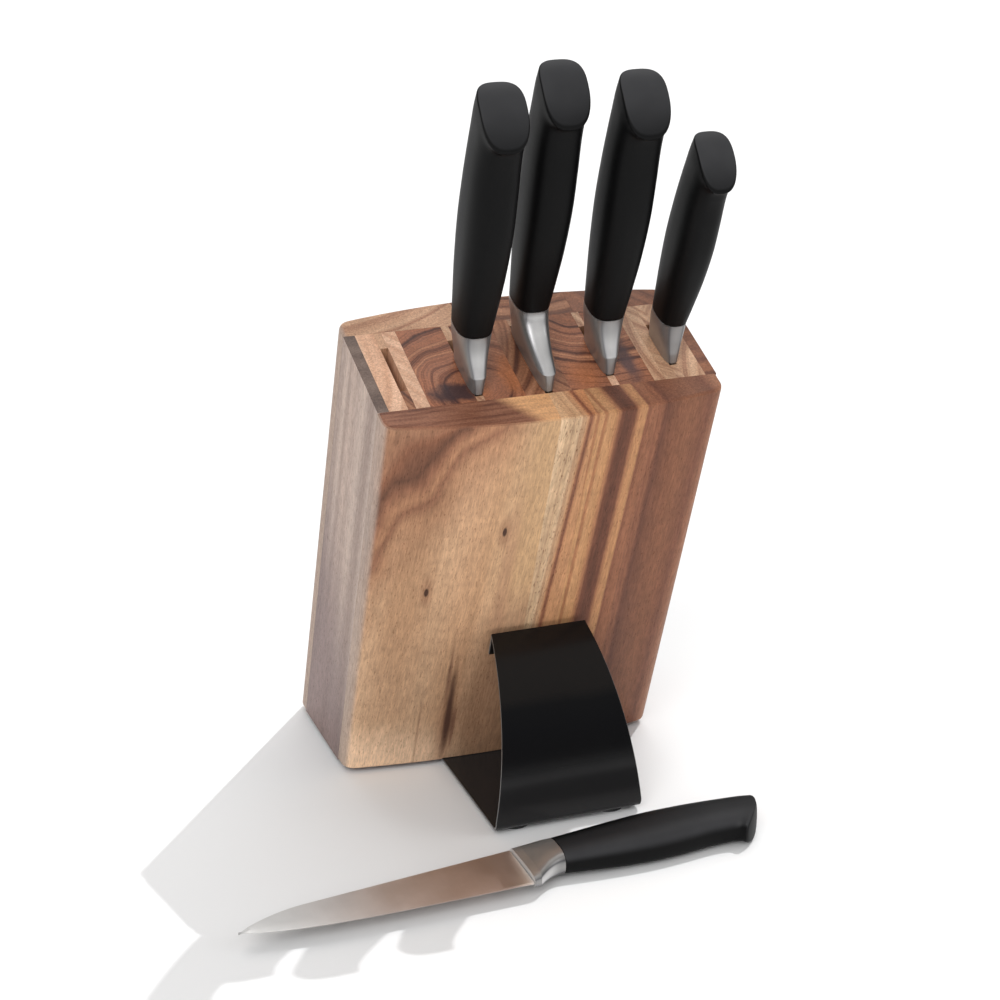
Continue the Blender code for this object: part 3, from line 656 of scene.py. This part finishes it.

# node: kind of wood, seed, palette, how the tree was cut
BOARDS = {
    "front_board_1": ("acacia_light", 1.3, LIGHT,
                      dict(pith=(-0.150, -0.105), spacing=0.0120, warp=0.012, detail=1.0,
                           slant=0.06, figure=front_left_figure_and_light, top=front_edge)),
    "front_board_2": ("acacia_pale", 2.1, STRIP,
                      dict(stripes=(-0.0015, 0.0150), warp=0.0026, slant=0.050, pores=0.9,
                           end_tint=(1.0, 0.86, 0.76))),
    "front_board_3": ("acacia_light", 3.9, STRIPED,
                      dict(stripes=(0.0150, 0.0430), warp=0.0030, slant=0.026)),
    "front_board_4": ("acacia_brown", 4.4, RUSSET,
                      dict(stripes=(0.0430, HALF), warp=0.0026, slant=0.010)),
    "back_board_1": ("acacia_light", 5.2, TAN,
                     dict(pith=(-0.090, 0.140), spacing=0.0045, figure=pale_end, pores=0.7)),
    "back_board_2": ("acacia_brown", 6.7, BROWN, dict(pith=(0.010, 0.120), spacing=0.0050)),
    "back_board_3": ("acacia_light", 7.1, REDDISH, dict(pith=(0.150, 0.110), spacing=0.0050)),
    "end_board_left": ("acacia_brown", 8.8, GREY,
                       dict(pith=(-0.060, 0.200), spacing=0.0110, figure=left_end_figure,
                            end_tint=(0.36, 0.33, 0.32))),
    "end_board_right": ("acacia_brown", 9.6, REDDISH, dict(pith=(0.060, 0.200), spacing=0.0060)),
    "core_stave_1": ("acacia_pale", 10.3, PALE,
                     dict(pith=(-0.200, 0.020), end_tint=BARE, pores=0.2)),
    "core_stave_2": ("acacia_pale", 11.4, PALE,
                     dict(pith=(-0.150, -0.060), end_tint=BARE, pores=0.2)),
    "core_stave_3": HEART_ONE,
    "core_stave_4": HEART_ONE,
    "core_stave_5": ("acacia_brown", 13.6, BROWN, dict(pith=(-0.080, 0.030), spacing=0.005)),
    "core_stave_6": ("acacia_brown", 14.9, BROWN, dict(pith=(0.090, 0.050), spacing=0.005)),
    "core_stave_7": HEART_TWO,
    "core_stave_8": HEART_TWO,
    "core_stave_9": ("acacia_pale", 16.8, TAN, dict(pith=(0.200, 0.0), end_tint=BARE)),
    "core_stave_10": ("acacia_pale", 17.7, TAN, dict(pith=(0.160, 0.100), end_tint=BARE)),
    "core_stave_11": ("acacia_pale", 18.1, TAN, dict(pith=(0.190, -0.060), end_tint=BARE)),
}
# slot number: palettes of its front and back spacer
SPACERS = {1: (BROWN, TAN), 2: (TAN, TAN), 3: (None, TAN), 4: (PALE, TAN), 5: (TAN, TAN)}


# ---- the wooden block ----
def board_mesh(node):
    """A CAD board in the block frame, with its glued faces moved up to the seams."""
    bm = bmesh.new()
    bm.from_mesh(nodes[node].data)
    bmesh.ops.transform(bm, matrix=block_frame.inverted(), verts=bm.verts)
    bmesh.ops.remove_doubles(bm, verts=bm.verts, dist=0.00001)
    bmesh.ops.dissolve_limit(bm, angle_limit=math.radians(0.4), verts=bm.verts, edges=bm.edges)
    grow = (GAP - SEAM) / 2
    near = 0.00002
    for axis, limit in ((0, HALF - GAP), (1, JOINT + GAP)):
        low = min(vertex.co[axis] for vertex in bm.verts)
        high = max(vertex.co[axis] for vertex in bm.verts)
        for vertex in bm.verts:
            if vertex.co[axis] < low + near and abs(low) < limit:
                vertex.co[axis] -= grow
            elif vertex.co[axis] > high - near and abs(high) < limit:
                vertex.co[axis] += grow
    mesh = bpy.data.meshes.new(node)
    bm.to_mesh(mesh)
    bm.free()
    return mesh


def build_block():
    """Every board, stave and spacer with wood of its own."""
    for node, (slot, seed, palette, cut) in BOARDS.items():
        material = wood(f"wood_{node}", seed, palette, **cut)
        add_piece(f"{node}_wood", board_mesh(node), block_frame, material, "block", [node],
                  22)
    for number, palettes in SPACERS.items():
        for side, palette in zip(("front", "back"), palettes):
            if palette is None:
                continue
            node = f"slot_{number}_{side}_spacer"
            material = wood(f"wood_{node}", 20 + number * 1.7, palette, end_tint=BARE)
            add_piece(f"{node}_wood", board_mesh(node), block_frame, material, "block", [node],
                      22)


# ---- steel, plastic and rubber ----
def brushed_steel(name, place, colour, rough, streak_axis, far_colour=None, reach=1.0,
                  shaded=False):
    """Satin steel with faint streaks along one axis of its frame.

    far_colour: what the colour turns to along the knife, over its reach.
    shaded: painted reflection and shade, darker on the flanks and where it faces straight forward.
    """
    paint = Paint(name, place)
    stretch = [1.0, 1.0, 1.0]
    stretch[streak_axis] = 0.04
    streaks = paint.noise(paint.stretch(paint.point, tuple(stretch)), 900, 2)
    clouds = paint.noise(paint.point, 60, 3)
    tone = paint.times(paint.vary(streaks, 0.985, 1.01), paint.vary(clouds, 0.94, 1.05))
    if shaded:
        # painted reflection and shade: it goes by the way the surface faces in the knife's frame
        turned = [paint.vector('DOT_PRODUCT', paint.normal, tuple(place.to_3x3().col[axis]))
                  for axis in (0, 1)]
        side = paint.math('ABSOLUTE', turned[0])
        flank = paint.ramp(side, [(0.00, (1.0, 1.0, 1.0)), (0.22, (0.80, 0.80, 0.81)),
                                  (0.45, (0.22, 0.22, 0.23)), (0.70, (0.30, 0.295, 0.29)),
                                  (1.00, (0.50, 0.49, 0.48))])
        rise = paint.fade(turned[1], -0.99, -0.80, 0.42, 1.0)
        colour = paint.tint(paint.scale_colour(flank, rise), colour)
    # painted reflection: the colour turns along the knife, warm at the heel where the wooden block is
    # mirrored
    if far_colour:
        share = paint.share(paint.z, -reach)
        ricasso = paint.fade(paint.plus(share, paint.times(paint.y, 2.0)), -0.055, 0.025)
        colour = paint.mix(paint.fade(share, 0.10, 0.95), colour, far_colour)
        colour = paint.mix(ricasso, (0.950, 0.930, 0.900), colour)
    roughness = paint.plus(paint.vary(streaks, rough - 0.02, rough + 0.02),
                           paint.vary(clouds, -0.02, 0.02))
    return paint.finish(paint.scale_colour(colour, tone), roughness, 0.70 if shaded else 1.0)


def soft_touch(name):
    """Matte black moulded plastic with a fine grain."""
    paint = Paint(name)
    grain = paint.noise(paint.point, 2600, 2, 0.6)
    clouds = paint.noise(paint.point, 45, 3)
    paint.bump(grain, 0.00001)
    paint.shader.inputs["Specular IOR Level"].default_value = 0.105
    # painted light: greyer where it faces forward and up, towards the lamps
    rise = paint.vector('DOT_PRODUCT', paint.normal, (0.0, -0.6, 0.8))
    colour = paint.mix(paint.fade(rise, 0.62, 1.0), (0.0026, 0.0026, 0.0028),
                       (0.036, 0.036, 0.038))
    colour = paint.scale_colour(colour, paint.vary(clouds, 0.92, 1.1))
    return paint.finish(colour, paint.vary(grain, 0.44, 0.50))


def gloss_black(name):
    """Powder-coated sheet polished to a gloss, with a trace of orange peel."""
    paint = Paint(name)
    peel = paint.noise(paint.point, 420, 2)
    clouds = paint.noise(paint.point, 30, 3)
    paint.bump(peel, 0.000003)
    paint.shader.inputs["Specular IOR Level"].default_value = 0.16
    # painted reflection: the black is lighter low down, darkest in the middle and browner at the top
    # by the block
    wave = paint.times(paint.minus(clouds, 0.5), 0.003)
    share = paint.share(paint.plus(paint.z, wave), STAND_HEIGHT)
    colour = paint.ramp(share, [(0.00, (0.0190, 0.0185, 0.0190)), (0.33, (0.0150, 0.0147, 0.0153)),
                                (0.39, (0.0035, 0.0034, 0.0037)), (0.62, (0.0020, 0.0020, 0.0026)),
                                (0.74, (0.0016, 0.0016, 0.0020)), (0.80, (0.0065, 0.0052, 0.0046)),
                                (1.00, (0.0080, 0.0064, 0.0056))])
    # painted highlight: the sheet's cut edges, where it faces sideways, are lighter grey
    across = paint.split(paint.normal)[0]
    cut = paint.fade(paint.math('ABSOLUTE', across), 0.75, 0.95, 0.0, 0.8)
    colour = paint.mix(cut, colour, (0.16, 0.16, 0.16))
    return paint.finish(colour, paint.vary(clouds, 0.17, 0.22))


def dull_rubber(name):
    """Black rubber with a fine speckle."""
    paint = Paint(name)
    speck = paint.noise(paint.point, 1500, 3, 0.6)
    paint.bump(speck, 0.00004)
    colour = paint.scale_colour((0.020, 0.020, 0.021), paint.vary(speck, 0.8, 1.25))
    return paint.finish(colour, paint.vary(speck, 0.72, 0.85))


# ---- knives ----
def canted(knife, height):
    """Sideways step of the grip's middle line at a height above the heel."""
    return knife["cant"] * height


def blade_mesh(name, knife):
    """Flat-ground blade with a fine cutting bevel; the bread knife is serrated."""
    length = knife["blade"]
    heel = knife["heel"]
    straight, swept = knife["drop"]
    steps = 240 if name == "bread" else 90
    rings = []
    for i in range(steps + 1):
        away = 1 - (i / steps) ** (1.0 if name == "bread" else 1.5)
        z = -length * away
        sweep = max(0, away - 1 + SWEPT_SHARE) / SWEPT_SHARE
        spine = -heel * (straight * away + swept * sweep ** 2)
        edge = -heel * (1 - knife["belly"] * away ** BELLY_POWER)
        if name == "bread" and 0.03 < away < 0.97:
            wave = abs(math.sin(math.pi * -z / SERRATION_PITCH))
            edge += SERRATION_DEPTH * wave ** 0.7
        # spine and edge close on each other at the point
        closing = 1 - max(0, (away - 1 + POINT) / POINT) ** 2.4
        middle = (spine + edge) / 2
        tall = max((spine - edge) / 2 * closing, 0.0001)
        spine = middle + tall
        edge = middle - tall
        half = BLADE_THICKNESS / 2 * (1 - TIP_THINNING * away)
        depth = spine - edge
        bevel = min(BEVEL, depth * 0.25)
        if name == "bread":
            bevel = min(SERRATED_BEVEL, depth * 0.3)
        round_off = min(SPINE_ROUND, depth * 0.2)
        right = [(half - round_off * 0.8, spine), (half, spine - round_off),
                 (half * 0.86, edge + depth * 0.45), (half * 0.36, edge + bevel),
                 (0.00006, edge)]
        rings.append([(x, y, z) for x, y in right] + [(-x, y, z) for x, y in reversed(right)])
    return loft(rings)


def bolster_edge(knife, height, top_edge):
    """Edge side of a bolster: a flat nose, a crease, then a hollow sweep to the grip."""
    crease = -knife["heel"] + NOSE_SLOPE * knife["nose"]
    if height <= knife["nose"]:
        return -knife["heel"] + NOSE_SLOPE * height
    share = (height - knife["nose"]) / (knife["bolster"] - knife["nose"])
    return crease + (top_edge - crease) * (1 - (1 - share) ** SWEEP_POWER)


def bolster_mesh(knife):
    """Forged bolster from the block's face up to the grip."""
    _, spine, edge, thickness = HANDLE_STATIONS[0]
    height = knife["bolster"]
    step = canted(knife, height)
    top_spine = spine * knife["wide"] + step
    top_edge = edge * knife["wide"] + step
    top_wide = thickness * knife["thick"]
    crease = knife["nose"] / height
    steps = 36
    rises = [0, 0.01, crease * 0.5, crease * 0.96]
    rises += [crease + (1 - crease) * i / steps for i in range(steps + 1)]
    rings = []
    for rise in rises:
        blend = rise * rise * (3 - 2 * rise)
        wide = HEEL_THICKNESS + (top_wide - HEEL_THICKNESS) * (0.35 * rise + 0.65 * blend)
        wide += NOSE_WIDEN * min(rise / crease, 1) * (1 - rise)
        z = GAP + (height - GAP) * rise
        rings.append(oval(top_spine * rise, bolster_edge(knife, height * rise, top_edge),
                          wide, z, 3.6 - 0.8 * rise))
    return loft(rings)


def handle_ring(knife, share, height, scale=1.0, lift=0.0):
    """Cross-section of the handle at a share of its length; shrunk and lifted on the butt."""
    if share >= 1:
        spine, edge, thickness = HANDLE_STATIONS[-1][1:]
    else:
        spine, edge, thickness = (smooth_value(HANDLE_STATIONS, share, i) for i in (1, 2, 3))
    step = canted(knife, height)
    lean = max(0, (share - 0.55) / 0.45) ** 1.6
    middle = (spine + edge) / 2 * knife["wide"] + step
    half = (spine - edge) / 2 * knife["wide"] * scale
    dome = BUTT_DOME * knife["wide"] * lean
    return oval(middle + half, middle - half, thickness * knife["thick"] * scale,
                height + dome * (1 - scale * scale) + lift, 2.8, knife["butt"] * lean,
                dome * scale * scale)


def handle_mesh(knife):
    """Soft-touch grip with a slanted, domed butt."""
    start = knife["bolster"] + GAP / 3
    body = knife["grip"] - BUTT_REACH * knife["wide"] + GAP * 2 / 3
    steps = 90
    # a small radius where the grip meets the bolster
    rings = [handle_ring(knife, 0, start, 0.975), handle_ring(knife, 0, start + 0.0002)]
    rings += [handle_ring(knife, i / steps, start + body * i / steps)
              for i in range(1, steps + 1)]
    # a crisp but rounded rim, then the domed face
    for turn in (18, 36, 54, 72, 90):
        angle = math.radians(turn)
        scale = 1 - RIM_INSET * (1 - math.cos(angle))
        rings.append(handle_ring(knife, 1, start + body, scale, RIM_RISE * math.sin(angle)))
    for scale, lift in ((0.87, 0.00125), (0.75, 0.0015), (0.55, 0.0017), (0.30, 0.0018),
                        (0.08, 0.00185)):
        rings.append(handle_ring(knife, 1, start + body, scale, lift))
    return loft(rings)


def knife_frame(name):
    """Where a knife's heel sits: in its slot, or on the table for the lying one."""
    if name == "utility":
        lay = Matrix(((0, 0, 1, 0), (0, 1, 0, 0), (-1, 0, 0, 0), (0, 0, 0, 1)))
        return (table_frame @ Matrix.Translation(KNIFE_REST)
                @ Matrix.Rotation(KNIFE_YAW, 4, 'Z') @ lay)
    low, high = corners([f"{name}_blade"], block_frame)
    back = block_frame.inverted()
    heel = [back @ vertex.co for vertex in nodes[f"{name}_blade"].data.vertices]
    spine = max(point.y for point in heel if abs(point.z) < 0.0001)
    return block_frame @ Matrix.Translation(((low.x + high.x) / 2, spine, 0))


BLADE_COLOUR = (0.58, 0.55, 0.52)
BOLSTER_COLOUR = (0.72, 0.71, 0.70)
# the lying blade's colours are partly a painted reflection, warm at the heel where the wooden block
# is mirrored
LYING_BLADE_COLOURS = ((0.560, 0.485, 0.455), (0.550, 0.545, 0.535))    # heel, point


def build_knives():
    """Blade, bolster and grip of each knife."""
    grip = soft_touch("plastic_grip")
    for name, knife in KNIVES.items():
        place = knife_frame(name)
        body = f"{name}_knife"
        near, far = LYING_BLADE_COLOURS if name == "utility" else (BLADE_COLOUR, None)
        blade = brushed_steel(f"steel_blade_{name}", place, near, 0.44, 1, far, knife["blade"])
        add_piece(f"{name}_blade_steel", blade_mesh(name, knife), place, blade, body,
                  [f"{name}_blade"], 12)
        bolster = brushed_steel(f"steel_bolster_{name}", place, BOLSTER_COLOUR, 0.34, 2,
                                shaded=True)
        add_piece(f"{name}_bolster_steel", bolster_mesh(knife), place, bolster, body,
                  [f"{name}_bolster"], 35)
        add_piece(f"{name}_grip", handle_mesh(knife), place, grip, body,
                  [f"{name}_handle"], 50)


# ---- the stand and small parts ----
def block_front(z):
    """y of the bowed front face at mid width, at a height above the table."""
    back = (z - BASE_HEIGHT) * math.sin(LEAN) + BLOCK_BULGE
    return -back / math.cos(LEAN) - BLOCK_ADVANCE


def stand_path():
    """Middle line of the folded sheet in y and z, with its half width there."""
    low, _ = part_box("stand_sheet")
    sheet_z = low.z + STAND_SHEET / 2
    front = -STAND_REACH + STAND_SHEET / 2
    bend = STAND_BEND + STAND_SHEET / 2
    path = [(STAND_TAIL, sheet_z, STAND_HALF_WIDTH), (0.0, sheet_z, STAND_HALF_WIDTH)]
    turns = 12
    for i in range(turns + 1):
        turn = (math.pi / 2 - STAND_ARC_START) * i / turns
        path.append((front + bend - bend * math.sin(turn),
                     sheet_z + bend - bend * math.cos(turn), STAND_HALF_WIDTH))
    foot_y, foot_z, _ = path[-1]
    centre_y = foot_y + STAND_ARC_RADIUS * math.cos(STAND_ARC_START)
    centre_z = foot_z - STAND_ARC_RADIUS * math.sin(STAND_ARC_START)
    sweep = arc_sweep(centre_y, centre_z)
    steps = 60
    for i in range(1, steps + 1):
        angle = STAND_ARC_START + sweep * i / steps
        width = STAND_HALF_WIDTH + (STAND_TOP_HALF - STAND_HALF_WIDTH) * i / steps
        path.append((centre_y - STAND_ARC_RADIUS * math.cos(angle),
                     centre_z + STAND_ARC_RADIUS * math.sin(angle), width))
    lip = Vector((math.sin(LEAN), -math.cos(LEAN)))
    end = Vector(path[-1][:2]) + Vector((math.sin(LEAN), 1 - math.cos(LEAN))) * STAND_SHEET
    corner = end - Vector((0, STAND_SHEET))
    path.append((*(corner + lip * 0.0006), STAND_TOP_HALF))
    path.append((*(corner + lip * STAND_LIP), STAND_TOP_HALF))
    return path


def arc_sweep(centre_y, centre_z):
    """Angle at which the stand's arc meets the face of the block."""
    sweep = 0.0
    step = math.radians(0.05)
    clearance = GAP + 2.2 * STAND_SHEET
    while True:
        angle = STAND_ARC_START + sweep
        y = centre_y - STAND_ARC_RADIUS * math.cos(angle)
        z = centre_z + STAND_ARC_RADIUS * math.sin(angle)
        if y > block_front(z) - clearance / math.cos(LEAN):
            return sweep
        sweep += step


def sheet_mesh():
    """The folded sheet, with its cut edges eased."""
    path = stand_path()
    points = [Vector((y, z)) for y, z, _ in path]
    ease = 0.00025
    rings = []
    for i, (_, _, half) in enumerate(path):
        ahead = points[min(i + 1, len(points) - 1)] - points[i]
        behind = points[i] - points[max(i - 1, 0)]
        ahead = ahead.normalized() if ahead.length else behind.normalized()
        behind = behind.normalized() if behind.length else ahead
        across = (ahead + behind).normalized()
        normal = Vector((-across.y, across.x))
        reach = STAND_SHEET / 2 / max(0.45, normal.dot(Vector((-ahead.y, ahead.x))))
        inner = points[i] - normal * reach
        outer = points[i] + normal * reach
        inner_eased = points[i] - normal * (reach - ease)
        outer_eased = points[i] + normal * (reach - ease)
        rings.append([(-half + ease, *inner), (half - ease, *inner), (half, *inner_eased),
                      (half, *outer_eased), (half - ease, *outer), (-half + ease, *outer),
                      (-half, *outer_eased), (-half, *inner_eased)])
    return loft(rings)


def turned_mesh(profile, segments=72):
    """A solid turned about z from a profile of radius and height."""
    turns = [2 * math.pi * i / segments for i in range(segments)]
    rings = []
    for radius, z in profile:
        radius = max(radius, 0.00002)
        rings.append([(radius * math.cos(turn), radius * math.sin(turn), z) for turn in turns])
    return loft(rings)


def upright(node):
    """Where a small round CAD part stands, its radius and its height."""
    low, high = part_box(node)
    centre = (low + high) / 2
    place = Matrix.Translation((centre.x, centre.y, low.z))
    return place, (high.x - low.x) / 2, high.z - low.z


def build_stand():
    """Folded sheet, rubber feet and the two flat-head screws under the plate."""
    coat = gloss_black("coat_black")
    add_piece("stand_folded_sheet", sheet_mesh(),
              table_frame @ Matrix.Translation((STAND_OFFSET, 0, 0)), coat, "block",
              ["stand_sheet"], 25)
    rubber = dull_rubber("rubber")
    for node in sorted(name for name in nodes if "foot" in name):
        place, radius, height = upright(node)
        rim = min(0.0006, height * 0.4)
        profile = [(0, height), (radius - 0.0002, height), (radius, height - 0.0002)]
        for i in range(7):
            turn = math.pi / 2 * i / 6
            profile.append((radius - rim * (1 - math.cos(turn)), rim * (1 - math.sin(turn))))
        profile += [(radius * 0.62, 0), (radius * 0.55, 0.00015), (0, 0.0002)]
        add_piece(f"{node}_pad", turned_mesh(profile), place, rubber, "block", [node],
                  40)
    steel = brushed_steel("steel_screw", table_frame, (0.5, 0.5, 0.5), 0.35, 0)
    for node in ("base_screw_1", "base_screw_2"):
        place, head, length = upright(node)
        shank = head * 0.47
        profile = [(0, length), (shank * 0.5, length - 0.0005)]
        pitch = 0.0009
        for i in range(8):
            z = length - 0.0014 - i * pitch
            profile += [(shank, z), (shank * 0.8, z - pitch / 2)]
        profile += [(shank, 0.0009), (head, 0.0009), (head * 0.86, 0.0), (head * 0.42, 0.0),
                    (head * 0.36, 0.0006), (0, 0.0007)]
        add_piece(f"{node}_threaded", turned_mesh(profile, 48), place, steel, "block", [node],
                  35)


# ---- floor, light and camera ----
FLOOR_REACH = 40.0          # far enough that its end lies near the horizon


def build_floor():
    """A wide, flat, pale floor."""
    far = FLOOR_REACH
    mesh = bpy.data.meshes.new("floor")
    mesh.from_pydata([(-far, -far, 0), (far, -far, 0), (far, far, 0), (-far, far, 0)], [],
                     [(0, 1, 2, 3)])
    paint = Paint("floor_paper")
    tone = paint.vary(paint.noise(paint.point, 3, 2), 0.99, 1.0)
    mesh.materials.append(paint.finish(paint.scale_colour((0.74, 0.74, 0.74), tone), 0.9))
    add_object("floor", mesh)


# soft lamps: direction towards the lamp, spread in degrees, energy
SOFT_LAMPS = {
    "key": ((-0.9, -1.3, 1.1), 40, 1.65),
    "right": ((1.2, -0.6, 0.8), 30, 0.35),
    "top": ((0.3, 0.7, 1.4), 50, 0.90),
}
CRISP_LAMP = ((0.436, 0.182, 0.882), 0.5, 1.55)


def sun_lamp(name, towards, spread, energy):
    """Even light from one direction, soft when its spread is wide."""
    data = bpy.data.lights.new(name, 'SUN')
    data.angle = math.radians(spread)
    data.energy = energy
    lamp = add_object(name, data)
    lamp.rotation_euler = Vector(towards).to_track_quat('Z', 'Y').to_euler()
    return lamp


def build_light():
    """Bright sky over a dimmer horizon, soft lights, and a crisp one for the shadow."""
    world = bpy.data.worlds.new("surroundings")
    bpy.context.scene.world = world
    world.use_nodes = True
    tree = world.node_tree
    background = tree.nodes["Background"]
    height = tree.nodes.new("ShaderNodeSeparateXYZ")
    ramp = tree.nodes.new("ShaderNodeValToRGB")
    tree.links.new(tree.nodes.new("ShaderNodeTexCoord").outputs["Generated"], height.inputs[0])
    tree.links.new(height.outputs["Z"], ramp.inputs[0])
    ramp.color_ramp.elements[0].color = (0.30, 0.30, 0.31, 1.0)
    ramp.color_ramp.elements[1].color = (1.0, 1.0, 1.0, 1.0)
    ramp.color_ramp.elements[1].position = 0.75
    tree.links.new(ramp.outputs[0], background.inputs["Color"])
    background.inputs["Strength"].default_value = 0.62
    for name, lamp in SOFT_LAMPS.items():
        sun_lamp(name, *lamp)
    crisp = sun_lamp("crisp", *CRISP_LAMP)
    # this lamp draws the shadow on the floor and leaves the set itself alone
    receivers = bpy.data.collections.new("floor_only")
    receivers.objects.link(bpy.data.objects["floor"])
    crisp.light_linking.receiver_collection = receivers


def build_camera():
    """From the front left, looking down a little."""
    data = bpy.data.cameras.new("camera")
    data.sensor_width = 36
    data.lens = 82.3
    data.clip_end = 100
    camera = add_object("camera", data)
    camera.location = table_frame @ Vector((-0.3431, -0.9491, 0.5129))
    camera.rotation_euler = (1.2082, 0.0036, -0.3500)
    bpy.context.scene.camera = camera


bpy.context.scene.view_settings.view_transform = 'Standard'
build_block()
build_knives()
build_stand()
build_floor()
build_light()
build_camera()

bpy.context.view_layer.update()
